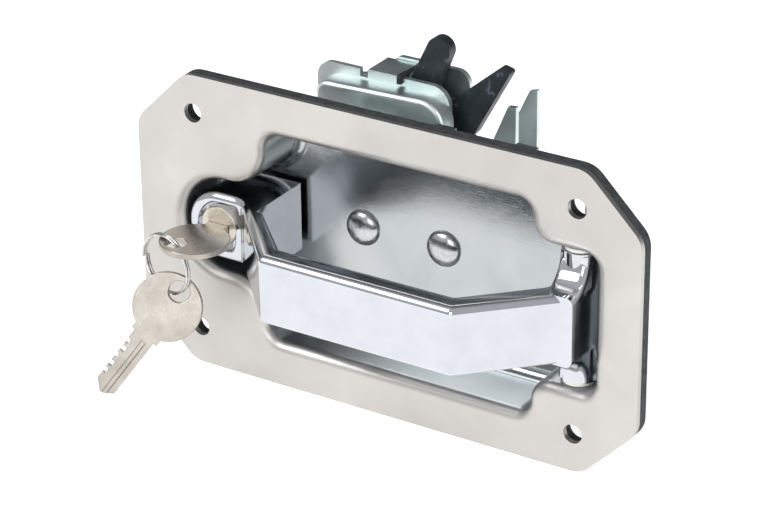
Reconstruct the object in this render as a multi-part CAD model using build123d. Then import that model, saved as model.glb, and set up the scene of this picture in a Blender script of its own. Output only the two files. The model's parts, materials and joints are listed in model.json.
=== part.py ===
from build123d import *
import os

# Recessed folding handle with a keyed cylinder, and the rotary latch it works.
# X runs along the plate, Y goes into the door, Z is up. The origin is the centre of the
# four panel screws, on the front face of the plate. All sizes are millimetres.

# Plate and dish, one pressing of stainless sheet
PLATE_HALF_W, PLATE_HALF_H, PLATE_CHAMFER, PLATE_CORNER = 96.0, 53.75, 20.0, 9.0
SHEET, DISH_DEPTH, FLOOR_BACK = 2.0, 25.0, 27.0
SCREW_X, SCREW_Z, SCREW_HOLE_R = 73.0, 40.0, 3.4
BODY_LEFT, BODY_RIGHT, BODY_HALF_H = -46.0, 56.0, 38.0
NEST_LEFT, NEST_HALF_H = -79.0, 17.0
LOBE_RIGHT, LOBE_HALF_H = 79.8, 24.5
NEST_R, NEST_BLEND_R, BODY_LEFT_R, BODY_RIGHT_R, LOBE_BLEND_R, LOBE_R = 16.9, 14.3, 6.5, 5.0, 8.0, 4.5
RIM_R, FLOOR_R = 4.0, 4.0
GASKET_T, GASKET_GAP = 4.0, 5.0

# Handle
BOW_FRONT, BOW_BACK, BOW_HALF_H, BOW_ROUND, FLARE_R = -32.5, -23.0, 12.3, 2.8, 10.0
HINGE_X, HINGE_Y, BARREL_R, BARREL_HALF = 70.5, 8.0, 6.2, 23.0
LOCK_X, HOUSING_RIGHT, HOUSING_BACK, RAMP_FOOT_R = -64.6, -45.0, 22.8, 9.0
PIN_R, PIN_HALF, RUN = 2.5, 29.5, 0.05
FINGER_LEFT, FINGER_RIGHT, FINGER_TIP, FINGER_LOW, FINGER_HIGH = 67.0, 74.0, 37.0, 7.0, 15.0

# Lock cylinder
PLUG_R, PLUG_FRONT, PLUG_BACK, TAIL_R = 7.0, 0.8, 21.0, 2.4
MOUTH_R, MOUTH_DEEP = 7.75, 1.2
KEYWAY_HALF_W, KEYWAY_HALF_T, KEYWAY_END = 4.2, 1.1, 19.6
WAFER_COUNT, WAFER_T, WAFER_PITCH, WAFER_FIRST, WAFER_HALF_W, WAFER_TOP = 5, 0.9, 2.4, 5.5, 3.0, 5.6
CAM_Y, CAM_T, CAM_LONG, CAM_WIDE = 28.5, 3.0, 14.0, 6.4

# Keys and split ring
KEY_R, KEY_T, KEY_HOLE_R, KEY_BLADE_W = 12.0, 2.0, 3.7, 8.0
INSERTED_Y, INSERTED_HOLE = -13.3, (-3.6, -5.6)
SPARE_HOLE = Vector(-67.9, -18.5, -17.3)
SPARE_ALONG, SPARE_FACE = Vector(-0.43, -0.484, -0.762), Vector(0.412, -0.857, 0.313)
SPARE_HOLE_OUT = 6.65
RING_CENTRE, RING_R, RING_WIRE_R, RING_PITCH = Vector(-73.3, -17.8, -8.6), 10.6, 0.5, 1.06
RING_ACROSS = Vector(0.975, -0.22, 0)

# Rear latch: layers along Y
COVER_FRONT, FRONT_PLATE, BACK_PLATE, LATCH_T = 42.0, 50.0, 63.0, 2.0
ROTOR_Y, ROTOR_T, ROTOR_X, ROTOR_Z, ROTOR_HUB = 56.0, 4.2, -12.0, 26.0, 12.5
COVER_LEFT, COVER_RIGHT, COVER_LOW, COVER_TOP, COVER_T = -52.2, -1.5, 4.0, 42.4, 1.8
LATCH_LEFT, LATCH_LOW, MOUTH_LOW = -56.0, 2.0, 20.0
PAWL_X, PAWL_Z, SHAFT_R, STUD_Z = -39.0, 24.0, 3.5, 34.0
LINK_Y, LINK_T, LINK_LOW, LINK_TOP, LINK_LEFT, LINK_RIGHT = 30.0, 2.5, 30.0, 38.0, -45.0, 65.7
LINK_LEG_W, LINK_LEG_LOW = 6.0, 6.0
BRACKET_T, RIVET_X = 2.5, (-22.0, 9.7)
GUIDE_X = (5.0, 36.0)
SCREW_SPOTS = ((-28.0, 15.6), (-28.0, 28.6))
SPACER_SPOTS = ((-45.2, 33.6), (-45.2, 9.9), (16.5, 8.5))

CENTRED = (Align.CENTER, Align.CENTER, Align.CENTER)


def slab(face, front, back):
    """A face drawn in X and Z, made solid from the front to the back Y."""
    return Location(Plane(origin=(0, front, 0), x_dir=(1, 0, 0), z_dir=(0, 1, 0))) * extrude(
        Rot(180, 0, 0) * face, amount=back - front, dir=(0, 0, 1)
    )


def disc(x, z, r, front, back):
    return slab(Pos(x, z) * Circle(r), front, back)


def block(left, right, front, back, low, high):
    middle = ((left + right) / 2, (front + back) / 2, (low + high) / 2)
    return Pos(*middle) * Box(right - left, back - front, high - low)


def outline(*points):
    return make_face(Polyline(*points, close=True))


def rounded(face, x, z, r):
    """The outline with its corner nearest to (x, z) rounded."""
    corner = min(face.vertices(), key=lambda v: (v.X - x) ** 2 + (v.Y - z) ** 2)
    return fillet(corner, r)


def edges_at(solid, y):
    """The edges that lie wholly in the plane at this Y."""
    found = []
    for edge in solid.edges():
        box = edge.bounding_box()
        if abs(box.min.Y - y) < 0.01 and abs(box.max.Y - y) < 0.01:
            found.append(edge)
    return found


def dish_outline():
    """Dish walls seen from the front: body, round nest for the lock housing, hinge lobe."""
    upper = [
        (NEST_LEFT, NEST_HALF_H, NEST_R),
        (BODY_LEFT, NEST_HALF_H, NEST_BLEND_R),
        (BODY_LEFT, BODY_HALF_H, BODY_LEFT_R),
        (BODY_RIGHT, BODY_HALF_H, BODY_RIGHT_R),
        (BODY_RIGHT, LOBE_HALF_H, LOBE_BLEND_R),
        (LOBE_RIGHT, LOBE_HALF_H, LOBE_R),
    ]
    corners = upper + [(x, -z, r) for x, z, r in reversed(upper)]
    face = outline(*[(x, z) for x, z, r in corners])
    for x, z, r in corners:
        face = rounded(face, x, z, r)
    return face


def plate_outline():
    w, h, cut = PLATE_HALF_W, PLATE_HALF_H, PLATE_CHAMFER
    face = outline(
        (cut - w, -h), (w - cut, -h), (w, cut - h), (w, h - cut), (w - cut, h), (cut - w, h), (-w, h - cut),
        (-w, cut - h),
    )
    return fillet(face.vertices(), PLATE_CORNER)


def screw_spots():
    return [(sx * SCREW_X, sz * SCREW_Z) for sx in (-1, 1) for sz in (-1, 1)]


def inner_edges(solid, y):
    """Edges in the plane at this Y that belong to the dish, not to the plate's rim or its holes."""
    found = []
    for edge in edges_at(solid, y):
        centre = edge.center()
        if abs(centre.X) < LOBE_RIGHT + SHEET + 1 and abs(centre.Z) < BODY_HALF_H + SHEET + 1:
            found.append(edge)
    return found


def dish_plate():
    walls = dish_outline()
    solid = slab(plate_outline(), 0, SHEET) + slab(offset(walls, SHEET), 0, FLOOR_BACK)
    solid = fillet(inner_edges(solid, SHEET), RIM_R - SHEET)
    solid = fillet(edges_at(solid, FLOOR_BACK), FLOOR_R + SHEET)
    cavity = fillet(edges_at(slab(walls, -1, DISH_DEPTH), DISH_DEPTH), FLOOR_R)
    solid -= cavity
    solid = fillet(inner_edges(solid, 0), RIM_R - 0.02)
    for x, z in screw_spots():
        solid -= disc(x, z, SCREW_HOLE_R, -1, SHEET + 1)
    for x in RIVET_X:
        solid -= disc(x, 0, 2.6, DISH_DEPTH - 1, FLOOR_BACK + 1)
    solid -= block(-75.3, -56.0, DISH_DEPTH - 3, FLOOR_BACK + 1, -4.0, 4.0)
    solid -= block(54.6, 75.5, DISH_DEPTH - 3, FLOOR_BACK + 1, FINGER_LOW - 1.5, FINGER_HIGH + 1.5)
    solid -= Pos(HINGE_X, HINGE_Y, 0) * Cylinder(PIN_R, 2 * LOBE_HALF_H + 20, align=CENTRED)
    return solid


def panel_gasket():
    solid = slab(plate_outline(), SHEET, SHEET + GASKET_T)
    solid -= slab(offset(dish_outline(), SHEET + GASKET_GAP), SHEET - 1, SHEET + GASKET_T + 1)
    for x, z in screw_spots():
        solid -= disc(x, z, SCREW_HOLE_R + 0.8, 0, SHEET + GASKET_T + 1)
    return solid


def handle():
    """Chromed casting: lock housing, ramped bow and hinge barrel in one."""
    h = BOW_HALF_H
    end = LOCK_X - h
    plan = outline(
        (end, HOUSING_BACK), (end, 0), (-54.5, 0), (-25.5, BOW_FRONT), (46.5, BOW_FRONT), (75.0, -4.0),
        (76.7, 2.0), (76.7, HINGE_Y), (64.3, HINGE_Y), (64.3, 0), (62.8, -2.7), (42.6, BOW_BACK),
        (-23.2, BOW_BACK), (HOUSING_RIGHT, -1.2), (HOUSING_RIGHT, HOUSING_BACK),
    )
    for x, y, r in ((-54.5, 0, RAMP_FOOT_R), (-25.5, BOW_FRONT, 3.0), (46.5, BOW_FRONT, 3.0), (42.6, BOW_BACK, 2.0),
                    (-23.2, BOW_BACK, 2.0), (75.0, -4.0, 3.0)):
        plan = rounded(plan, x, y, r)
    solid = extrude(plan, amount=h, both=True)
    solid -= block(end - 1, LOCK_X, -1, HOUSING_BACK + 1, -h - 1, h + 1) - disc(LOCK_X, 0, h, -2, HOUSING_BACK + 2)
    long_edges = [e for e in solid.edges() if abs(abs(e.center().Z) - h) < 0.01 and e.center().Y < 7]
    nose = [e for e in edges_at(solid, 0) if e.center().X < LOCK_X]
    solid = fillet(long_edges + nose, BOW_ROUND)
    solid = fillet(edges_at(solid, HOUSING_BACK), 1.4)
    flare = block(65.0, 76.0, FLARE_R / 2 - h, HINGE_Y, -h - FLARE_R, h + FLARE_R)
    for side in (-1, 1):
        scoop = Cylinder(FLARE_R, 40, rotation=(0, 90, 0), align=CENTRED)
        flare -= Pos(70.5, FLARE_R / 2 - h, side * (h + FLARE_R)) * scoop
    flare = fillet([e for e in flare.edges().filter_by(GeomType.CIRCLE)], 2.5)
    solid += flare + Pos(HINGE_X, HINGE_Y, 0) * Cylinder(BARREL_R, 2 * BARREL_HALF, align=CENTRED)
    solid -= Pos(HINGE_X, HINGE_Y, 0) * Cylinder(PIN_R + RUN, 80, align=CENTRED)
    solid -= disc(LOCK_X, 0, PLUG_R + RUN, -1, HOUSING_BACK + 1)
    return solid - disc(LOCK_X, 0, MOUTH_R, -1, MOUTH_DEEP)


def hinge_pin():
    pin = Pos(HINGE_X, HINGE_Y, 0) * Cylinder(PIN_R, 2 * PIN_HALF, align=CENTRED)
    for side in (-1, 1):
        pin -= Pos(HINGE_X, HINGE_Y, side * 27.2) * (Cylinder(PIN_R + 1, 0.9) - Cylinder(PIN_R - 0.6, 0.9))
    return chamfer(pin.edges().filter_by(GeomType.CIRCLE).group_by(Axis.Z)[-1], 0.5)


def hinge_clips():
    """Retaining clips in the pin's grooves, outside the dish walls."""
    clip = Cylinder(4.6, 0.7) - Cylinder(PIN_R - 0.55, 2) - Pos(0, 4, 0) * Box(2.6, 8, 2)
    return [Pos(HINGE_X, HINGE_Y, side * 27.2) * clip for side in (-1, 1)]


def hinge_washers():
    washer = Cylinder(5.4, 1.2) - Cylinder(PIN_R + RUN, 2)
    return [Pos(HINGE_X, HINGE_Y, side * (BARREL_HALF + LOBE_HALF_H) / 2) * washer for side in (-1, 1)]


def cam_finger():
    """Steel finger on the hinge barrel: it swings with the handle and pushes the link bar."""
    finger = block(FINGER_LEFT, FINGER_RIGHT, HINGE_Y + 4, FINGER_TIP, FINGER_LOW, FINGER_HIGH)
    tip = [e for e in finger.edges().filter_by(Axis.Z) if e.center().Y > FINGER_TIP - 1]
    finger = fillet(tip, 1.0)
    return finger - Pos(HINGE_X, HINGE_Y, 0) * Cylinder(BARREL_R, 80, align=CENTRED)


def lock_plug():
    """Nickel-plated plug with an open keyway, wafer slots and a tail for the cam."""
    plug = disc(LOCK_X, 0, PLUG_R, PLUG_FRONT, PLUG_BACK)
    plug = fillet(edges_at(plug, PLUG_FRONT), 0.4)
    plug += disc(LOCK_X, 0, TAIL_R, PLUG_BACK, CAM_Y + CAM_T)
    x, w, t = LOCK_X, KEYWAY_HALF_W, KEYWAY_HALF_T
    plug -= block(x - w, x + w, 0, KEYWAY_END, -t, t)
    plug -= block(x + w - 1.6, x + w, 0, 4.0, -t - 1.4, t)
    for n in range(WAFER_COUNT):
        y = WAFER_FIRST + n * WAFER_PITCH
        plug -= block(x - WAFER_HALF_W, x + WAFER_HALF_W, y, y + WAFER_T, 0, WAFER_TOP)
    return plug - disc(x, 0, 1.5, 24.0, CAM_Y + CAM_T + 1)


def lock_wafers():
    wafers = []
    for n in range(WAFER_COUNT):
        y = WAFER_FIRST + n * WAFER_PITCH
        gap = 0.03
        wafers.append(block(LOCK_X - WAFER_HALF_W + gap, LOCK_X + WAFER_HALF_W - gap, y + gap, y + WAFER_T - gap,
                            KEYWAY_HALF_T + 0.1, WAFER_TOP - gap))
    return wafers


def lock_cam():
    """Bar on the plug's tail: along the slot when unlocked, across it when locked."""
    bar = slab(Pos(LOCK_X, 0) * RectangleRounded(CAM_LONG, CAM_WIDE, 2.5), CAM_Y, CAM_Y + CAM_T)
    return bar - disc(LOCK_X, 0, TAIL_R, CAM_Y - 1, CAM_Y + CAM_T + 1)


def cam_screw():
    back = CAM_Y + CAM_T
    head = disc(LOCK_X, 0, 3.3, back, back + 1.8)
    head = fillet(edges_at(head, back + 1.8), 0.7)
    head -= block(LOCK_X - 4, LOCK_X + 4, back + 1.0, back + 3, -0.5, 0.5)
    return head + disc(LOCK_X, 0, 1.5, 24.5, back)


def flat_key(hole, blade_long, waist):
    """A key in the XY plane: round bow at the origin, blade along +Y, cuts on its right edge."""
    w = KEY_BLADE_W / 2
    end = KEY_R + blade_long
    blade = outline((-w, 6.0), (w, 6.0), (w, end - 3.5), (w - 3.5, end), (w - 4.8, end), (-w, end - 2.4))
    face = Circle(KEY_R) + Pos(0, KEY_R - 1.2) * Rectangle(waist, 4.4) + blade - Pos(*hole) * Circle(KEY_HOLE_R)
    depths = (1.1, 1.8, 0.9, 1.5, 1.2)
    for n in range(int((blade_long - 9) / 3.2)):
        face -= Pos(w, KEY_R + 5.5 + n * 3.2) * Rectangle(2 * depths[n % 5], 1.7)
    key = extrude(face, amount=KEY_T / 2, both=True)
    return key - Pos(-1.0, KEY_R + blade_long / 2 + 2.5, KEY_T / 2) * Box(1.6, blade_long, 0.8)


def key_inserted():
    return Pos(LOCK_X, INSERTED_Y, 0) * flat_key(INSERTED_HOLE, 20.0, 8.0)


def key_spare():
    side = SPARE_ALONG.cross(SPARE_FACE)
    place = Plane(origin=SPARE_HOLE + SPARE_ALONG * SPARE_HOLE_OUT, x_dir=side, z_dir=SPARE_FACE)
    return place * flat_key((0, -SPARE_HOLE_OUT), 25.4, 10.5)


def coil(place, radius, wire_r, pitch, turns):
    """A helical spring in the given plane, growing along that plane's normal."""
    path = Helix(pitch=pitch, height=pitch * turns, radius=radius)
    section = Plane(origin=path @ 0, z_dir=path % 0) * Circle(wire_r)
    return place * sweep(section, path=path, is_frenet=True)


def key_ring():
    """Two touching turns of spring wire."""
    normal = RING_ACROSS.cross(Vector(0, 0, 1)).normalized()
    place = Plane(origin=RING_CENTRE - normal * RING_PITCH, x_dir=-RING_ACROSS, z_dir=normal)
    return coil(place, RING_R, RING_WIRE_R, RING_PITCH, 2)


def dome_rivets():
    rivets = []
    ball_r = (6.5 ** 2 + 3.0 ** 2) / 6.0
    for x in RIVET_X:
        dome = Pos(x, DISH_DEPTH - 3.0 + ball_r, 0) * Sphere(ball_r)
        dome &= disc(x, 0, 8.0, DISH_DEPTH - 4, DISH_DEPTH)
        back = FLOOR_BACK + BRACKET_T
        rivets.append(dome + disc(x, 0, 2.6, DISH_DEPTH, back) + disc(x, 0, 4.2, back, back + 1.2))
    return rivets


def mount_bracket():
    """Z-shaped plate: web riveted to the dish floor, flange that carries the latch."""
    t, back = BRACKET_T, COVER_FRONT
    solid = block(-46, 16, FLOOR_BACK, FLOOR_BACK + t, -12, 10.5)
    solid += block(-46, -21, FLOOR_BACK, back, 8, 10.5)
    solid += block(-46, -21, back - t, back, 8, 33.4)
    solid = fillet([e for e in solid.edges().filter_by(Axis.X) if abs(e.center().Z - 10.5) < 0.01
                    and e.center().Y < back - t + 0.1 and e.center().Y > FLOOR_BACK + 0.1
                    and e.center().X < -22], 1.2)
    for x in RIVET_X:
        solid -= disc(x, 0, 2.6, FLOOR_BACK - 1, FLOOR_BACK + t + 1)
    for x, z in SCREW_SPOTS:
        solid -= disc(x, z, 2.0, back - t - 1, back + 1)
    return solid - disc(PAWL_X, PAWL_Z, SHAFT_R + RUN, back - t - 1, back + 1)


def latch_holes(solid, front):
    for x, z in SPACER_SPOTS:
        solid -= disc(x, z, 2.0, front - 1, front + LATCH_T + 1)
    solid -= disc(PAWL_X, PAWL_Z, SHAFT_R + RUN, front - 1, front + LATCH_T + 1)
    return solid - disc(ROTOR_X, ROTOR_Z, 3.0, front - 1, front + LATCH_T + 1)


def latch_front_plate():
    """Side plate with the striker mouth, a locating notch and a folded-back flange."""
    face = outline(
        (LATCH_LEFT, LATCH_LOW), (22.4, LATCH_LOW), (22.4, 44.3), (19.3, 44.0), (13.8, 31.0), (13.8, MOUTH_LOW),
        (-3.2, MOUTH_LOW), (-3.2, 45.5), (-35.5, 45.5), (-35.5, 42.8), (-38.6, 42.8), (-38.6, 45.5),
        (LATCH_LEFT, 45.5),
    )
    corners = (
        (LATCH_LEFT, 45.5, 6.0), (-3.2, 45.5, 7.0), (-3.2, MOUTH_LOW, 8.3), (13.8, MOUTH_LOW, 8.3),
        (LATCH_LEFT, LATCH_LOW, 5.0), (22.4, LATCH_LOW, 5.0), (13.8, 31.0, 2.0),
    )
    for x, z, r in corners:
        face = rounded(face, x, z, r)
    solid = slab(face, FRONT_PLATE, FRONT_PLATE + LATCH_T)
    solid += block(-35.3, -23.6, FRONT_PLATE, BACK_PLATE - 0.3, 43.9, 45.9)
    for x, z in SCREW_SPOTS:
        solid -= disc(x, z, 2.0, FRONT_PLATE - 1, FRONT_PLATE + LATCH_T + 1)
    return latch_holes(solid, FRONT_PLATE)


def latch_back_plate():
    face = outline(
        (LATCH_LEFT, LATCH_LOW), (23.2, LATCH_LOW), (23.2, 46.0), (20.1, 45.1), (13.8, 31.5), (13.8, MOUTH_LOW),
        (-2.9, MOUTH_LOW), (-2.9, 47.0), (-33.0, 47.0), (-33.0, 37.4), (LATCH_LEFT, 37.4),
    )
    corners = (
        (-33.0, 47.0, 3.0), (-33.0, 37.4, 2.0), (LATCH_LEFT, 37.4, 6.0), (-2.9, 47.0, 5.3), (-2.9, MOUTH_LOW, 8.2), (13.8, MOUTH_LOW, 8.2),
        (LATCH_LEFT, LATCH_LOW, 5.0), (23.2, LATCH_LOW, 5.0), (13.8, 31.5, 2.0),
    )
    for x, z, r in corners:
        face = rounded(face, x, z, r)
    return latch_holes(slab(face, BACK_PLATE, BACK_PLATE + LATCH_T), BACK_PLATE)


def cover_face(inset):
    face = outline(
        (COVER_LEFT + inset, COVER_LOW + inset), (COVER_RIGHT - inset, COVER_LOW + inset),
        (COVER_RIGHT - inset, COVER_TOP + 0.8 - inset), (COVER_LEFT + inset, COVER_TOP - 0.8 - inset),
    )
    face = rounded(face, COVER_RIGHT, COVER_TOP, 9.0 - inset)
    face = rounded(face, COVER_LEFT, COVER_TOP, 5.0 - inset)
    face = rounded(face, COVER_LEFT, COVER_LOW, 6.0 - inset)
    return rounded(face, COVER_RIGHT, COVER_LOW, 6.0 - inset)


def actuator_cover():
    """Pressed tray over the moving parts, open at the back, with a raised seat for the rotor pin."""
    tray = slab(cover_face(0.0), COVER_FRONT, FRONT_PLATE)
    tray = fillet(edges_at(tray, COVER_FRONT), 1.8)
    tray -= slab(cover_face(COVER_T), COVER_FRONT + COVER_T, FRONT_PLATE + 1)
    seat = disc(ROTOR_X, ROTOR_Z, 9.0, COVER_FRONT - 0.9, COVER_FRONT + COVER_T)
    tray += fillet(edges_at(seat, COVER_FRONT - 0.9), 0.8)
    tray -= disc(ROTOR_X, ROTOR_Z, 3.0, COVER_FRONT - 2, FRONT_PLATE)
    for x, z in SCREW_SPOTS:
        tray -= disc(x, z, 2.0, COVER_FRONT - 1, FRONT_PLATE)
    return tray - disc(PAWL_X, PAWL_Z, SHAFT_R + RUN, COVER_FRONT - 1, FRONT_PLATE)


def rotor():
    """Two-pronged claw, shown open: the striker enters between its prongs and turns it shut."""
    blade = outline((-6.5, 38.2), (12.6, 54.3), (16.8, 53.3), (3.2, 28.6), (-8.0, 16.0), (-16.0, 30.0))
    blade = rounded(blade, 12.6, 54.3, 1.2)
    blade = rounded(blade, 16.8, 53.3, 1.0)
    prong = make_hull((Pos(-17.4, 41.5) * Circle(5.0)).edges() + (Pos(-11.2, 55.7) * Circle(4.5)).edges())
    root = Pos(-17.0, 38.0) * Circle(5.6)
    face = Pos(ROTOR_X, ROTOR_Z) * Circle(ROTOR_HUB) + blade + prong + root
    face -= outline((-26.0, 12.0), (-20.5, 19.5), (-17.0, 15.5), (-20.0, 10.0))
    solid = slab(face, ROTOR_Y, ROTOR_Y + ROTOR_T)
    return solid - disc(ROTOR_X, ROTOR_Z, 3.0 + RUN, ROTOR_Y - 1, ROTOR_Y + ROTOR_T + 1)


def rotor_pin():
    """Stepped rivet from the cover through both side plates."""
    front, back = COVER_FRONT - 0.9, BACK_PLATE + LATCH_T
    pin = disc(ROTOR_X, ROTOR_Z, 3.0, front, back)
    head = disc(ROTOR_X, ROTOR_Z, 5.0, front - 1.6, front)
    tail = disc(ROTOR_X, ROTOR_Z, 5.0, back, back + 1.4)
    return pin + fillet(edges_at(head, front - 1.6), 1.0) + fillet(edges_at(tail, back + 1.4), 0.8)


def facing_back(x, y, z):
    return Plane(origin=(x, y, z), x_dir=(1, 0, 0), z_dir=(0, 1, 0))


def rotor_spring():
    return coil(facing_back(ROTOR_X, FRONT_PLATE + LATCH_T + 0.7, ROTOR_Z), 4.6, 0.45, 1.25, 2)


def pawl_spring():
    return coil(facing_back(PAWL_X, COVER_FRONT + COVER_T + 0.8, PAWL_Z), 5.0, 0.45, 1.2, 3.5)


def plate_rivets():
    """Shouldered rivets that hold the side plates apart."""
    rivets = []
    back = BACK_PLATE + LATCH_T
    for x, z in SPACER_SPOTS:
        head = fillet(edges_at(disc(x, z, 3.6, FRONT_PLATE - 1.4, FRONT_PLATE), FRONT_PLATE - 1.4), 0.7)
        tail = fillet(edges_at(disc(x, z, 3.8, back, back + 1.4), back + 1.4), 0.7)
        sleeve = disc(x, z, 3.4, FRONT_PLATE + LATCH_T, BACK_PLATE)
        rivets.append(head + tail + sleeve + disc(x, z, 2.0, FRONT_PLATE, back))
    return rivets


def cover_screws():
    """Screws from the bracket through the cover into the front side plate."""
    screws = []
    front = COVER_FRONT - BRACKET_T
    for x, z in SCREW_SPOTS:
        head = slab(Pos(x, z) * RegularPolygon(3.8, 6), front - 2.2, front)
        screws.append(head + disc(x, z, 2.0, front, FRONT_PLATE + LATCH_T + 1.5))
    return screws


def rotor_bumper():
    """Rubber strap hooked over the top edge of the front side plate, beside the rotor's finger."""
    strap = block(-23.2, -21.6, FRONT_PLATE - 1.3, FRONT_PLATE + LATCH_T + 2.4, 43.6, 46.7)
    strap = fillet(strap.edges().filter_by(Axis.X).group_by(Axis.Z)[-1], 0.9)
    return strap - block(-24, -20, FRONT_PLATE, FRONT_PLATE + LATCH_T, 40, 45.5)


def pawl_shaft():
    """Stepped shaft from the crank to the dog; its front end takes the crank."""
    return disc(PAWL_X, PAWL_Z, SHAFT_R, 33.0, BACK_PLATE + LATCH_T + 0.6)


def pawl_crank():
    hub = Pos(PAWL_X, PAWL_Z) * Circle(6.0)
    end = Pos(PAWL_X, STUD_Z) * Circle(3.4)
    arm = slab(make_hull(hub.edges() + end.edges()), 33.0, 35.5)
    arm += disc(PAWL_X, STUD_Z, 2.0, LINK_Y - 0.4, 33.0)
    return arm - disc(PAWL_X, PAWL_Z, SHAFT_R, 32, 36)


def pawl_dog():
    """Catch beside the rotor hub."""
    hub = Pos(PAWL_X, PAWL_Z) * Circle(6.2)
    nose = Pos(-27.0, 25.6) * Circle(1.5)
    dog = slab(make_hull(hub.edges() + nose.edges()), ROTOR_Y, ROTOR_Y + ROTOR_T)
    return dog - disc(PAWL_X, PAWL_Z, SHAFT_R, ROTOR_Y - 1, ROTOR_Y + ROTOR_T + 1)


def link_bar():
    """Flat bar: its leg meets the cam finger, its slot takes up the lost motion at the crank."""
    face = Pos((LINK_LEFT + LINK_RIGHT) / 2, (LINK_LOW + LINK_TOP) / 2) * Rectangle(
        LINK_RIGHT - LINK_LEFT, LINK_TOP - LINK_LOW
    )
    leg_mid = (LINK_TOP + LINK_LEG_LOW) / 2
    face += Pos(LINK_RIGHT - LINK_LEG_W / 2, leg_mid) * Rectangle(LINK_LEG_W, LINK_TOP - LINK_LEG_LOW)
    for x, z in ((LINK_LEFT, LINK_LOW), (LINK_LEFT, LINK_TOP), (LINK_RIGHT, LINK_TOP)):
        face = rounded(face, x, z, 2.5)
    face = rounded(face, LINK_RIGHT - LINK_LEG_W, LINK_LOW, 3.0)
    slot_left, slot_right = PAWL_X - 2.4, PAWL_X + 13.6
    face -= Pos((slot_left + slot_right) / 2, STUD_Z) * SlotOverall(slot_right - slot_left, 5.0)
    return slab(face, LINK_Y, LINK_Y + LINK_T)


def link_guides():
    """Hook-shaped clips welded to the dish floor, around the bar."""
    guides = []
    back = LINK_Y + LINK_T
    for x in GUIDE_X:
        left, right = x - 4.0, x + 4.0
        foot = block(left, right, FLOOR_BACK, FLOOR_BACK + 1.5, 18.0, 29.4)
        post = block(left, right, FLOOR_BACK, back + 2.0, 27.9, 29.4)
        arch = block(left, right, back + 0.5, back + 2.0, 27.9, 40.1)
        lip = block(left, right, LINK_Y, back + 2.0, 38.6, 40.1)
        guides.append(foot + post + arch + lip)
    return guides


PARTS = (
    dish_plate, panel_gasket, handle, hinge_pin, hinge_clips, hinge_washers, cam_finger, lock_plug, lock_wafers,
    lock_cam, cam_screw, key_inserted, key_ring, key_spare, dome_rivets, mount_bracket, actuator_cover,
    latch_front_plate, latch_back_plate, rotor, rotor_pin, rotor_spring, pawl_spring, plate_rivets, cover_screws,
    rotor_bumper, pawl_shaft, pawl_crank, pawl_dog, link_bar, link_guides,
)

os.makedirs("parts", exist_ok=True)
for make in PARTS:
    shape = make()
    if isinstance(shape, list):
        shape = Compound(children=shape)
    export_step(shape, f"parts/{make.__name__}.step")
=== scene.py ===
import json
from math import cos, pi, radians, sin

import bmesh
import bpy
from mathutils import Matrix, Vector

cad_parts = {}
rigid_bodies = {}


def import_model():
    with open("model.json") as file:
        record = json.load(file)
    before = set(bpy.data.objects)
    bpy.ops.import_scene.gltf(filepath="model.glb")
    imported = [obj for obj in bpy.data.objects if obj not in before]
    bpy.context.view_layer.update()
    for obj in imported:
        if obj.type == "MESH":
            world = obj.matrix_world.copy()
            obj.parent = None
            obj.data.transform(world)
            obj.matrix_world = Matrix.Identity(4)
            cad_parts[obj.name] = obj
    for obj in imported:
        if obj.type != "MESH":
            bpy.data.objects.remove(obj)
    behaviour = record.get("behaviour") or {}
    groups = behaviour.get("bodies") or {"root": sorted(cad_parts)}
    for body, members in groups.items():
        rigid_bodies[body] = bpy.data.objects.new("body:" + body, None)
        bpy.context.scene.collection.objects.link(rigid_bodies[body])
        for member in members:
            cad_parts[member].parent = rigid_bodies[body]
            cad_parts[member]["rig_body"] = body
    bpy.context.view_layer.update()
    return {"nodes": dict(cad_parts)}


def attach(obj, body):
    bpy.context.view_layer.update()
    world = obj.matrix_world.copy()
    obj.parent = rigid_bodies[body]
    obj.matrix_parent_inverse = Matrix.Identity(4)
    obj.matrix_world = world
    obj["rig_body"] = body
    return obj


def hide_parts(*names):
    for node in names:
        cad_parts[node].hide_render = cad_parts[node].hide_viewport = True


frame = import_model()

MM = 0.001

# ---------------------------------------------------------------------------------------
# Dish plate. One pressing of 2 mm stainless sheet: the flange keeps a fine satin grain
# from the belt, the drawn walls are left dull, and the floor is buffed until it mirrors.
# The walls and floor are also painted a darker, cooler grey than the flange, as painted shade.
# ---------------------------------------------------------------------------------------


def srgb(code):
    """A hex colour as linear red, green, blue and alpha."""
    parts = [int(code[i:i + 2], 16) / 255 for i in (1, 3, 5)]
    linear = [p / 12.92 if p <= 0.04045 else ((p + 0.055) / 1.055) ** 2.4 for p in parts]
    return (*linear, 1.0)


def add(tree, kind, settings=None, **links):
    """Adds a node, sets its fields and inputs, and links inputs given as sockets."""
    node = tree.nodes.new("ShaderNode" + kind)
    for field, value in (settings or {}).items():
        setattr(node, field, value)
    for key, value in links.items():
        spot = int(key[1:]) if key[0] == "i" and key[1:].isdigit() else key.replace("_", " ")
        if isinstance(value, bpy.types.NodeSocket):
            tree.links.new(value, node.inputs[spot])
        else:
            node.inputs[spot].default_value = value
    return node


def blank_material(name):
    """A material with only its output node, and its tree."""
    material = bpy.data.materials.new(name)
    material.use_nodes = True
    tree = material.node_tree
    tree.nodes.clear()
    tree.nodes.new("ShaderNodeOutputMaterial")
    return material, tree


def close_shader(tree, shader):
    tree.links.new(shader.outputs[0], tree.nodes["Material Output"].inputs[0])


def ramp(tree, source, stops):
    """A colour ramp whose stops are (place, hex) pairs."""
    node = add(tree, "ValToRGB", Fac=source)
    edge = node.color_ramp.elements
    edge[0].position, edge[0].color = stops[0][0], srgb(stops[0][1])
    edge[1].position, edge[1].color = stops[-1][0], srgb(stops[-1][1])
    for place, code in stops[1:-1]:
        edge.new(place).color = srgb(code)
    return node.outputs[0]


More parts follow.
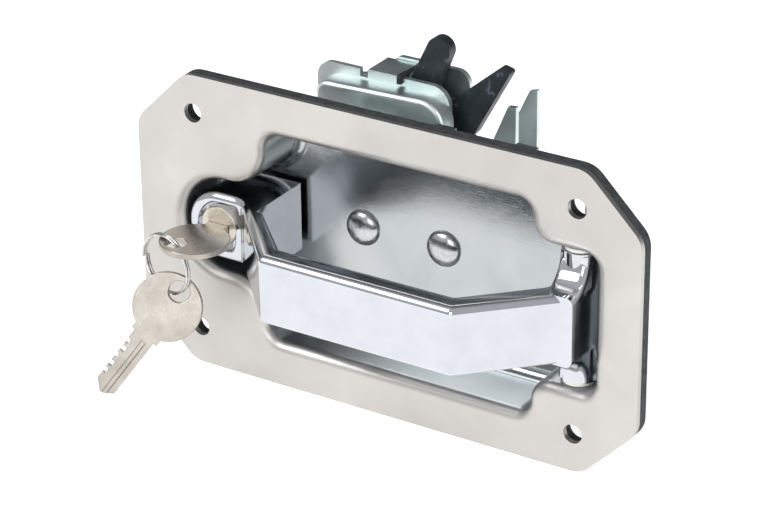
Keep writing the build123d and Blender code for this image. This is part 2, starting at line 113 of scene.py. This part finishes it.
def spread(tree, source, low, high, start=0.3, end=0.7):
    """A pattern's middle values stretched over a range, as a socket."""
    node = add(tree, "MapRange", Value=source, From_Min=start, From_Max=end, To_Min=low, To_Max=high)
    return node.outputs[0]


def metal(tree, colour, roughness, bump=None):
    """Ends a tree as bare or plated metal."""
    shader = add(tree, "BsdfPrincipled", Metallic=1.0, Base_Color=colour, Roughness=roughness)
    if bump:
        tree.links.new(bump.outputs[0], shader.inputs["Normal"])
    close_shader(tree, shader)


def cad_copy(node, name, material, crease=32.0, edge_mm=0.0):
    """A merged, smooth copy of a CAD node's mesh that stands for it and rides where it rode."""
    body = frame["nodes"][node]["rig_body"]
    mesh = frame["nodes"][node].data.copy()
    mesh.name = name
    work = bmesh.new()
    work.from_mesh(mesh)
    bmesh.ops.remove_doubles(work, verts=work.verts, dist=0.004 * MM)
    work.to_mesh(mesh)
    work.free()
    if mesh.has_custom_normals:
        mesh.attributes.remove(mesh.attributes["custom_normal"])
    mesh.shade_smooth()
    mesh.set_sharp_from_angle(angle=radians(crease))
    piece = bpy.data.objects.new(name, mesh)
    bpy.context.scene.collection.objects.link(piece)
    mesh.materials.clear()
    mesh.materials.append(material)
    if edge_mm:
        rounding = piece.modifiers.new("edge", "BEVEL")
        rounding.width = edge_mm * MM
        rounding.segments = 2
        rounding.limit_method = "ANGLE"
        rounding.angle_limit = radians(crease)
        rounding.use_clamp_overlap = True
        rounding.harden_normals = False
    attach(piece, body)
    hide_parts(node)
    return piece


# Stainless, whose finish follows its depth: a soft pale flange, blurred walls, a mirror floor.
# Below the flange the colour turns to a darker, cooler grey: painted shade in the dish.
FLANGE_END, WALL_START, WALL_END, FLOOR_START = 0.2 * MM, 5.0 * MM, 18.0 * MM, 24.5 * MM
DRAWN_ROUGHNESS = 0.33
stainless, tree = blank_material("satin_buffed_stainless_painted_dish_shade")
here = add(tree, "TexCoord").outputs["Object"]
depth = add(tree, "SeparateXYZ", Vector=here).outputs["Y"]
in_dish = add(tree, "MapRange", {"interpolation_type": "SMOOTHSTEP"}, Value=depth, From_Min=FLANGE_END,
              From_Max=WALL_START)
grain_space = add(tree, "Mapping", Vector=here, Scale=(1.0, 1.0, 30.0))
grain = add(tree, "TexNoise", Vector=grain_space.outputs[0], Scale=260.0, Detail=3.0, Roughness=0.6)
clouds = add(tree, "TexNoise", Vector=here, Scale=34.0, Detail=3.0, Roughness=0.55, Distortion=0.5)
steel = ramp(tree, clouds.outputs[0], ((0.30, "#B8B5B1"), (0.55, "#BEBBB7"), (0.75, "#C4C1BD")))
# Painted shade: the walls and floor inside the dish take this darker, cooler grey instead of the flange
# grey.
recess_shaded_grey = ramp(tree, clouds.outputs[0], ((0.30, "#A3A7A9"), (0.70, "#B2B5B6")))
colour = add(tree, "Mix", {"data_type": "RGBA"}, Factor=in_dish.outputs[0], i6=steel, i7=recess_shaded_grey)
satin = spread(tree, grain.outputs[0], 0.34, 0.46)
buffed = spread(tree, clouds.outputs[0], 0.11, 0.19)
on_floor = add(tree, "MapRange", {"interpolation_type": "SMOOTHSTEP"}, Value=depth, From_Min=WALL_END,
               From_Max=FLOOR_START)
sunk = add(tree, "Mix", {"data_type": "FLOAT"}, Factor=on_floor.outputs[0], i2=DRAWN_ROUGHNESS, i3=buffed)
rough = add(tree, "Mix", {"data_type": "FLOAT"}, Factor=in_dish.outputs[0], i2=satin, i3=sunk.outputs[0])
bump = add(tree, "Bump", Strength=0.09, Distance=0.0002, Height=grain.outputs[0])
metal(tree, colour.outputs[2], rough.outputs[0], bump)
cad_copy("dish_plate", "dish_pressing", stainless, crease=40)

# ---------------------------------------------------------------------------------------
# Panel gasket. Die-cut closed-cell neoprene foam, 4 mm thick, stuck behind the flange.
# Its cut edge shows as a dull dark grey line round the plate.
# ---------------------------------------------------------------------------------------
# Closed-cell foam, cut with a knife: no shine at all, and a pitted dark grey edge.
foam, tree = blank_material("closed_cell_foam")
here = add(tree, "TexCoord").outputs["Object"]
cells = add(tree, "TexVoronoi", Vector=here, Scale=1800.0)
pores = add(tree, "TexNoise", Vector=here, Scale=420.0, Detail=4.0)
tone = ramp(tree, pores.outputs[0], ((0.35, "#2B2E2F"), (0.70, "#414547")))
bump = add(tree, "Bump", Strength=0.5, Distance=0.0003, Height=cells.outputs[0])
shader = add(tree, "BsdfPrincipled", Base_Color=tone, Roughness=0.88, Normal=bump.outputs[0])
close_shader(tree, shader)
cad_copy("panel_gasket", "gasket_foam", foam, crease=40)

# ---------------------------------------------------------------------------------------
# Dome rivets. Two polished stainless rivets that fix the rear bracket to the dish floor.
# Turned blanks: each is one profile spun round its own axis.
# ---------------------------------------------------------------------------------------


def turned(name, profile_mm, centre_mm, material, steps=48):
    """A shape spun round a line along Y. The profile is (radius, y) from its front to its back."""
    mesh = bpy.data.meshes.new(name)
    verts = [(radius * MM, 0.0, -y * MM) for radius, y in profile_mm]
    mesh.from_pydata(verts, [(n, n + 1) for n in range(len(verts) - 1)], [])
    piece = bpy.data.objects.new(name, mesh)
    bpy.context.scene.collection.objects.link(piece)
    spin = piece.modifiers.new("spin", "SCREW")
    spin.axis = "Z"
    spin.steps = spin.render_steps = steps
    spin.use_merge_vertices = True
    spin.merge_threshold = 0.00001
    bpy.context.view_layer.update()
    shape = bpy.data.meshes.new_from_object(piece.evaluated_get(bpy.context.evaluated_depsgraph_get()))
    shape.name = name
    piece.modifiers.clear()
    piece.data = shape
    bpy.data.meshes.remove(mesh)
    place = Matrix.Translation(Vector(centre_mm) * MM) @ Matrix.Rotation(radians(90), 4, "X")
    shape.transform(place)
    shape.materials.clear()
    shape.materials.append(material)
    work = bmesh.new()
    work.from_mesh(shape)
    bmesh.ops.remove_doubles(work, verts=work.verts, dist=0.01 * MM)
    bmesh.ops.recalc_face_normals(work, faces=work.faces)
    work.to_mesh(shape)
    work.free()
    shape.shade_smooth()
    shape.set_sharp_from_angle(angle=radians(35))
    return piece


def joined(name, pieces):
    """One object from several, all at the origin."""
    work = bmesh.new()
    for piece in pieces:
        work.from_mesh(piece.data)
    mesh = bpy.data.meshes.new(name)
    work.to_mesh(mesh)
    work.free()
    mesh.materials.append(pieces[0].data.materials[0])
    whole = bpy.data.objects.new(name, mesh)
    bpy.context.scene.collection.objects.link(whole)
    for piece in pieces:
        old = piece.data
        bpy.data.objects.remove(piece)
        bpy.data.meshes.remove(old)
    mesh.set_sharp_from_angle(angle=radians(35))
    return whole


# Cold-headed stainless: bright, with a faint flow mark from the rivet set.
rivet_steel, tree = blank_material("headed_stainless")
here = add(tree, "TexCoord").outputs["Object"]
marks = add(tree, "TexNoise", Vector=here, Scale=300.0, Detail=4.0, Distortion=1.2)
tone = ramp(tree, marks.outputs[0], ((0.35, "#A9A9AA"), (0.65, "#C2C3C5")))
metal(tree, tone, spread(tree, marks.outputs[0], 0.14, 0.28))
RIVET_XS, DOME_R, DOME_H, SHANK_R = (-22.0, 9.7), 6.5, 3.0, 2.55
FLOOR_FRONT, BRACKET_BACK, TAIL_END, DOME_STEPS = 25.0, 29.5, 30.7, 9
rivets = []
for n, x in enumerate(RIVET_XS):
    angles = [a * pi / 2 / DOME_STEPS for a in range(1, DOME_STEPS + 1)]
    dome = [(DOME_R * sin(a), FLOOR_FRONT - DOME_H * cos(a)) for a in angles]
    shank = [(SHANK_R, FLOOR_FRONT), (SHANK_R, BRACKET_BACK)]
    tail = [(4.2, BRACKET_BACK), (4.1, BRACKET_BACK + 0.8), (3.2, TAIL_END), (0.0, TAIL_END)]
    profile = [(0.0, FLOOR_FRONT - DOME_H)] + dome + shank + tail
    rivets.append(turned(f"rivet_blank_{n}", profile, (x, 0, 0), rivet_steel))
heads = joined("rivet_domes", rivets)
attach(heads, "root")
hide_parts("dome_rivets")

# ---------------------------------------------------------------------------------------
# Handle. A zinc die casting, polished and chrome plated: lock housing, ramped grip and
# hinge barrel in one. Its faces are flat, so it mirrors the room in hard-edged bands.
# ---------------------------------------------------------------------------------------
# Chrome over polished zinc: nearly a mirror, with a cool tone and the polisher's slight ripple.
chrome, tree = blank_material("bright_chrome_plate")
here = add(tree, "TexCoord").outputs["Object"]
haze = add(tree, "TexNoise", Vector=here, Scale=90.0, Detail=4.0, Roughness=0.6)
tone = ramp(tree, haze.outputs[0], ((0.35, "#BDC0C5"), (0.65, "#C3C6CB")))
worn = spread(tree, haze.outputs[0], 0.045, 0.095, 0.35, 0.75)
ripple = add(tree, "TexNoise", Vector=here, Scale=55.0, Detail=1.0)
bump = add(tree, "Bump", Strength=0.015, Distance=0.0008, Height=ripple.outputs[0])
metal(tree, tone, worn, bump)
cad_copy("handle", "handle_casting", chrome, crease=24)

# ---------------------------------------------------------------------------------------
# Hinge. A plain ground steel pin through the dish walls, held by two spring clips, with
# white nylon washers between the barrel and the walls.
# ---------------------------------------------------------------------------------------
# Centreless-ground steel: grey and fairly bright, streaked round the pin by the wheel.
ground_steel, tree = blank_material("ground_steel")
here = add(tree, "TexCoord").outputs["Object"]
lathe_space = add(tree, "Mapping", Vector=here, Scale=(1.0, 1.0, 30.0))
lathe = add(tree, "TexNoise", Vector=lathe_space.outputs[0], Scale=120.0, Detail=3.0)
tone = ramp(tree, lathe.outputs[0], ((0.3, "#9A9B9D"), (0.7, "#BFC0C2")))
metal(tree, tone, spread(tree, lathe.outputs[0], 0.22, 0.36))
cad_copy("hinge_pin", "hinge_pin_ground", ground_steel, edge_mm=0.15)
cad_copy("hinge_clips", "hinge_spring_clips", ground_steel, edge_mm=0.12)
# Undyed nylon, moulded: milky white with a soft sheen.
nylon, tree = blank_material("natural_nylon")
here = add(tree, "TexCoord").outputs["Object"]
mottle = add(tree, "TexNoise", Vector=here, Scale=200.0, Detail=2.0)
tone = ramp(tree, mottle.outputs[0], ((0.3, "#D9D6CC"), (0.7, "#E9E7E0")))
shader = add(tree, "BsdfPrincipled", Base_Color=tone, Roughness=0.42)
close_shader(tree, shader)
cad_copy("hinge_washers", "hinge_nylon_washers", nylon, edge_mm=0.15)

# ---------------------------------------------------------------------------------------
# Cam finger. A bright-zinc steel blade set into the barrel. It reaches through the floor
# slot and pushes the link bar when the handle is pulled out.
# ---------------------------------------------------------------------------------------
# Zinc plate with a clear passivate: a pale, faintly blue-green metal with broad soft highlights.
zinc, tree = blank_material("bright_zinc_plate")
here = add(tree, "TexCoord").outputs["Object"]
bloom = add(tree, "TexNoise", Vector=here, Scale=70.0, Detail=3.0, Roughness=0.5, Distortion=0.3)
fine = add(tree, "TexNoise", Vector=here, Scale=900.0, Detail=2.0)
tone = ramp(tree, bloom.outputs[0], ((0.28, "#C3D0CF"), (0.50, "#D3DDDC"), (0.72, "#E1E8E7")))
worn = spread(tree, bloom.outputs[0], 0.34, 0.46)
bump = add(tree, "Bump", Strength=0.06, Distance=0.0002, Height=fine.outputs[0])
metal(tree, tone, worn, bump)
cad_copy("cam_finger", "finger_blade", zinc, edge_mm=0.3)

# ---------------------------------------------------------------------------------------
# Lock cylinder. A nickel-plated brass plug with brass wafers, and behind the floor the
# zinc-plated bar and its screw, which turn with the plug.
# ---------------------------------------------------------------------------------------
# Thin nickel over brass: a warm grey face, brushed so its highlight is spread.
plug_nickel, tree = blank_material("warm_nickel_plate")
here = add(tree, "TexCoord").outputs["Object"]
brush_space = add(tree, "Mapping", Vector=here, Scale=(1.0, 1.0, 12.0))
brush = add(tree, "TexNoise", Vector=brush_space.outputs[0], Scale=500.0, Detail=3.0)
tone = ramp(tree, brush.outputs[0], ((0.3, "#D0C8BB"), (0.7, "#E4DDD2")))
metal(tree, tone, spread(tree, brush.outputs[0], 0.26, 0.42))
cad_copy("lock_plug", "plug_barrel", plug_nickel, edge_mm=0.12)
# Bare stamped brass: yellow, and tarnished darker in patches.
brass, tree = blank_material("stamped_brass")
here = add(tree, "TexCoord").outputs["Object"]
stain = add(tree, "TexNoise", Vector=here, Scale=300.0, Detail=3.0)
tone = ramp(tree, stain.outputs[0], ((0.3, "#9C7B3A"), (0.7, "#C5A25A")))
metal(tree, tone, 0.3)
cad_copy("lock_wafers", "plug_wafers", brass)
cad_copy("lock_cam", "cam_bar", zinc, edge_mm=0.2)
cad_copy("cam_screw", "cam_bar_screw", zinc, edge_mm=0.12)

# ---------------------------------------------------------------------------------------
# Keys. Stamped nickel-silver blanks, tumbled, then cut: one stands in the plug and one
# hangs from the split ring.
# ---------------------------------------------------------------------------------------
# Nickel silver tumbled in stone: a warm grey with fine dents that break up its highlight.
key_nickel, tree = blank_material("tumbled_nickel_silver")
here = add(tree, "TexCoord").outputs["Object"]
tumble = add(tree, "TexNoise", Vector=here, Scale=650.0, Detail=5.0, Roughness=0.7)
patch = add(tree, "TexNoise", Vector=here, Scale=110.0, Detail=3.0)
tone = ramp(tree, patch.outputs[0], ((0.3, "#98938B"), (0.55, "#A5A098"), (0.75, "#B0ABA3")))
worn = spread(tree, tumble.outputs[0], 0.24, 0.38)
bump = add(tree, "Bump", Strength=0.15, Distance=0.00015, Height=tumble.outputs[0])
metal(tree, tone, worn, bump)
cad_copy("key_inserted", "key_in_plug", key_nickel, edge_mm=0.35)
cad_copy("key_spare", "key_on_ring", key_nickel, edge_mm=0.35)

# ---------------------------------------------------------------------------------------
# Split ring. Two turns of nickel-plated spring wire lying against each other, drawn as
# one smooth curve with a round section.
# ---------------------------------------------------------------------------------------
WIRE_STEPS = 64


def wound_wire(name, centre_mm, across, along, radius_mm, wire_mm, pitch_mm, turns, material):
    """Round wire wound about a line: across is where it starts, along is the way it climbs."""
    across, along = Vector(across).normalized(), Vector(along).normalized()
    side = along.cross(across)
    count = int(WIRE_STEPS * turns) + 1
    curve = bpy.data.curves.new(name, "CURVE")
    curve.dimensions = "3D"
    curve.bevel_depth = wire_mm * MM
    curve.bevel_resolution = 6
    curve.use_fill_caps = True
    line = curve.splines.new("POLY")
    line.points.add(count - 1)
    for n in range(count):
        turn = n / WIRE_STEPS * 2 * pi
        spot = across * (radius_mm * cos(turn)) + side * (radius_mm * sin(turn))
        spot += along * (pitch_mm * n / WIRE_STEPS)
        line.points[n].co = (*((Vector(centre_mm) + spot) * MM), 1.0)
    line.use_smooth = True
    wire = bpy.data.objects.new(name, curve)
    bpy.context.scene.collection.objects.link(wire)
    curve.materials.append(material)
    return wire


# Nickel on drawn wire: bright and neutral, rubbed a little duller where the keys slide.
ring_steel, tree = blank_material("nickel_plated_wire")
here = add(tree, "TexCoord").outputs["Object"]
rub = add(tree, "TexNoise", Vector=here, Scale=400.0, Detail=3.0)
tone = ramp(tree, rub.outputs[0], ((0.3, "#A6A6A4"), (0.7, "#CFCFCC")))
metal(tree, tone, 0.2)
RING_CENTRE, RING_R, RING_WIRE_R, RING_PITCH, RING_TURNS = Vector((-73.3, -17.8, -8.6)), 10.6, 0.5, 1.06, 2
ring_across = Vector((0.975, -0.22, 0.0)).normalized()
ring_along = ring_across.cross(Vector((0, 0, 1)))
ring_start = RING_CENTRE - ring_along * RING_PITCH
ring = wound_wire("split_ring", ring_start, -ring_across, ring_along, RING_R, RING_WIRE_R, RING_PITCH,
                  RING_TURNS, ring_steel)
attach(ring, "ring")
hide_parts("key_ring")

# ---------------------------------------------------------------------------------------
# Bracket and link. The folded bracket is riveted behind the dish, and two welded clips
# carry the flat link bar that runs from the hinge finger to the pawl's crank.
# ---------------------------------------------------------------------------------------
cad_copy("mount_bracket", "bracket_folded", zinc, edge_mm=0.25)
cad_copy("link_guides", "guide_clips", ground_steel, edge_mm=0.2)
cad_copy("link_bar", "link_flat_bar", zinc, edge_mm=0.25)
cad_copy("pawl_crank", "crank_arm", zinc, edge_mm=0.2)
cad_copy("pawl_shaft", "pawl_spindle", ground_steel, edge_mm=0.2)
cad_copy("pawl_dog", "pawl_catch", ground_steel, edge_mm=0.25)

# ---------------------------------------------------------------------------------------
# Latch body. A pressed cover, two blanked side plates with the striker mouth, and the
# shouldered rivets and screws that clamp them, all bright zinc with a pale blue cast.
# ---------------------------------------------------------------------------------------
cad_copy("actuator_cover", "cover_pressing", zinc, edge_mm=0.2)
cad_copy("latch_front_plate", "side_plate_front", zinc, edge_mm=0.3)
cad_copy("latch_back_plate", "side_plate_back", zinc, edge_mm=0.3)
cad_copy("plate_rivets", "shouldered_rivets", zinc, crease=40)
cad_copy("cover_screws", "cover_hex_screws", zinc, edge_mm=0.2)
cad_copy("rotor_pin", "rotor_rivet", zinc, crease=40)

# ---------------------------------------------------------------------------------------
# Rotor. A blanked steel claw with a black cathodic coat, its long blade and its short
# finger standing out above the plates. A rubber strap on the front plate stops its rattle.
# ---------------------------------------------------------------------------------------
# A dipped black coat: a bluish black with a weak sheen and a few pale specks of dust.
black_coat, tree = blank_material("black_dip_coat")
here = add(tree, "TexCoord").outputs["Object"]
orange_peel = add(tree, "TexNoise", Vector=here, Scale=700.0, Detail=3.0)
dust = add(tree, "TexNoise", Vector=here, Scale=160.0, Detail=5.0, Roughness=0.7)
tone = ramp(tree, dust.outputs[0], ((0.35, "#1E2428"), (0.60, "#2A3236"), (0.68, "#66727A")))
worn = spread(tree, dust.outputs[0], 0.34, 0.55)
bump = add(tree, "Bump", Strength=0.2, Distance=0.0003, Height=orange_peel.outputs[0])
shader = add(tree, "BsdfPrincipled", Base_Color=tone, Roughness=worn, Normal=bump.outputs[0])
close_shader(tree, shader)
cad_copy("rotor", "rotor_claw", black_coat, edge_mm=0.45)
# Moulded rubber: dark grey and dull.
rubber, tree = blank_material("moulded_rubber")
here = add(tree, "TexCoord").outputs["Object"]
skin = add(tree, "TexNoise", Vector=here, Scale=800.0, Detail=2.0)
tone = ramp(tree, skin.outputs[0], ((0.3, "#1A1B1D"), (0.7, "#2A2B2E")))
shader = add(tree, "BsdfPrincipled", Base_Color=tone, Roughness=0.7)
close_shader(tree, shader)
cad_copy("rotor_bumper", "bumper_clip", rubber, edge_mm=0.3)

# ---------------------------------------------------------------------------------------
# Springs. Torsion springs of plain drawn wire: one between the front plate and the rotor,
# one inside the cover round the pawl's shaft.
# ---------------------------------------------------------------------------------------
# Bare drawn wire: a mid grey with a narrow highlight along each turn.
spring_steel, tree = blank_material("drawn_spring_wire")
here = add(tree, "TexCoord").outputs["Object"]
scale_marks = add(tree, "TexNoise", Vector=here, Scale=500.0, Detail=2.0)
tone = ramp(tree, scale_marks.outputs[0], ((0.3, "#6E7073"), (0.7, "#97999C")))
metal(tree, tone, 0.32)
SPRING_WIRE_R = 0.45
springs = (
    ("rotor_torsion_spring", "rotor_spring", "rotor_spring_wire", (-12.0, 52.7, 26.0), 4.6, 1.25, 2),
    ("pawl_torsion_spring", "pawl_spring", "pawl_spring_wire", (-39.0, 44.6, 24.0), 5.0, 1.2, 3.5),
)
for name, node, slot, start, radius, pitch, turns in springs:
    spring = wound_wire(name, start, (1, 0, 0), (0, 1, 0), radius, SPRING_WIRE_R, pitch, turns, spring_steel)
    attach(spring, "root")
    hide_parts(node)

# ---------------------------------------------------------------------------------------
# Studio. A white sweep under the lock, a large softbox over the left shoulder, a smaller
# one in front, a long strip on the right, and a grey room behind that shades the chrome.
# ---------------------------------------------------------------------------------------
SWEEP_Z, SWEEP_HALF = -0.0542, 3
sweep_mesh = bpy.data.meshes.new("sweep")
corners = [(x * SWEEP_HALF, y * SWEEP_HALF, SWEEP_Z) for x, y in ((-1, -1), (1, -1), (1, 1), (-1, 1))]
sweep_mesh.from_pydata(corners, [], [(0, 1, 2, 3)])
sweep = bpy.data.objects.new("sweep", sweep_mesh)
bpy.context.scene.collection.objects.link(sweep)
# Matt white paper, lit evenly from below so that it stays white round the lock.
paper, tree = blank_material("white_paper_sweep")
shader = add(tree, "BsdfPrincipled", Base_Color=srgb("#F6F6F5"), Roughness=0.9,
             Emission_Color=srgb("#FFFFFF"), Emission_Strength=0.62)
close_shader(tree, shader)
sweep_mesh.materials.append(paper)


def softbox(name, place, aim, wide, tall, power, colour="#FFFFFF"):
    """A rectangular light at a point, facing another."""
    lamp = bpy.data.lights.new(name, "AREA")
    lamp.shape = "RECTANGLE"
    lamp.size, lamp.size_y = wide, tall
    lamp.energy = power
    lamp.color = srgb(colour)[:3]
    light = bpy.data.objects.new(name, lamp)
    bpy.context.scene.collection.objects.link(light)
    light.location = place
    light.rotation_euler = (Vector(aim) - Vector(place)).to_track_quat("-Z", "Y").to_euler()
    return light


softbox("key_box", (-0.7, -0.9, 1.1), (0, 0, 0), 0.9, 0.7, 12.5)
softbox("front_box", (0.5, -1.3, 0.5), (0, 0, 0), 0.8, 0.8, 5.0)
softbox("right_strip", (1.2, 0.1, 0.5), (0, 0, 0), 0.25, 1.0, 5.0)

world = bpy.data.worlds.new("studio_room")
bpy.context.scene.world = world
world.use_nodes = True
room = world.node_tree
room.nodes.clear()
way = add(room, "TexCoord").outputs["Generated"]
parts = add(room, "SeparateXYZ", Vector=way)
back_side = add(room, "MapRange", {"interpolation_type": "SMOOTHSTEP"}, Value=parts.outputs["Y"],
                From_Min=-0.25, From_Max=0.45)
walls = add(room, "Mix", {"data_type": "RGBA"}, Factor=back_side.outputs[0], i6=srgb("#E6E6E8"),
            i7=srgb("#6E7074"))
light = add(room, "Background", Color=walls.outputs[2], Strength=0.82)
out = room.nodes.new("ShaderNodeOutputWorld")
room.links.new(light.outputs[0], out.inputs[0])
bpy.context.scene.view_settings.view_transform = "Standard"

# ---------------------------------------------------------------------------------------
# Camera. A long lens a metre away, to the right of the plate's normal and above it.
# ---------------------------------------------------------------------------------------
STAND_OFF, LOOK_AT = 0.97877, Vector((2.32, 0.0, 6.14)) * MM
turn, lift, roll = radians(32.36), radians(26.13), radians(-0.61)
back = Vector((sin(turn) * cos(lift), -cos(turn) * cos(lift), sin(lift)))
right = Vector((0, 0, 1)).cross(back).normalized()
up = back.cross(right)
level_right = right * cos(roll) + up * sin(roll)
level_up = up * cos(roll) - right * sin(roll)
lens = bpy.data.cameras.new("studio_camera")
lens.lens = 140.26
lens.sensor_width = 36.0
lens.clip_start, lens.clip_end = 0.05, 20.0
camera = bpy.data.objects.new("studio_camera", lens)
bpy.context.scene.collection.objects.link(camera)
stand = LOOK_AT + back * STAND_OFF
camera.matrix_world = Matrix.Translation(stand) @ Matrix((level_right, level_up, back)).transposed().to_4x4()
bpy.context.scene.camera = camera
